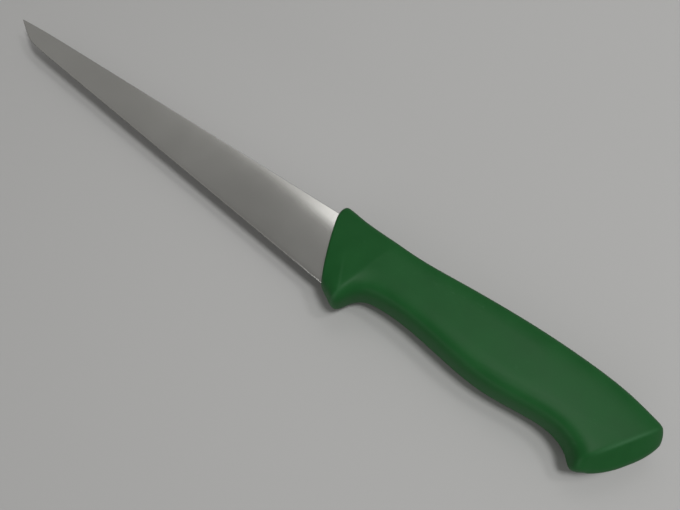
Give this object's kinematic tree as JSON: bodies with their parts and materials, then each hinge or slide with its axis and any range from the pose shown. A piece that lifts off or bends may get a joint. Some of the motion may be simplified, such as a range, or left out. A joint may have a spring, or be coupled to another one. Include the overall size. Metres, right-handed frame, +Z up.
{
  "type": "fillet knife",
  "caption": "Fillet knife with a slim tapering steel blade and a moulded green handle that has a finger guard and a hooked butt.",
  "frame": {"origin": "on the resting plane, under the middle of the knife's box", "axes": "+X from the blade's tip to the handle's butt, +Y from the cutting edge to the spine, +Z up through the thickness with the knife lying on its flank"},
  "size_m": [0.3246, 0.0388, 0.0203],
  "materials": {
    "steel": "satin, ground along the blade's depth",
    "core_plastic": "natural moulding, hidden",
    "grip_plastic": "satin green moulding"
  },
  "bodies": {
    "root": {"blade": "steel", "handle_core": "core_plastic", "handle_grip": "grip_plastic"}
  },
  "joints": []
}
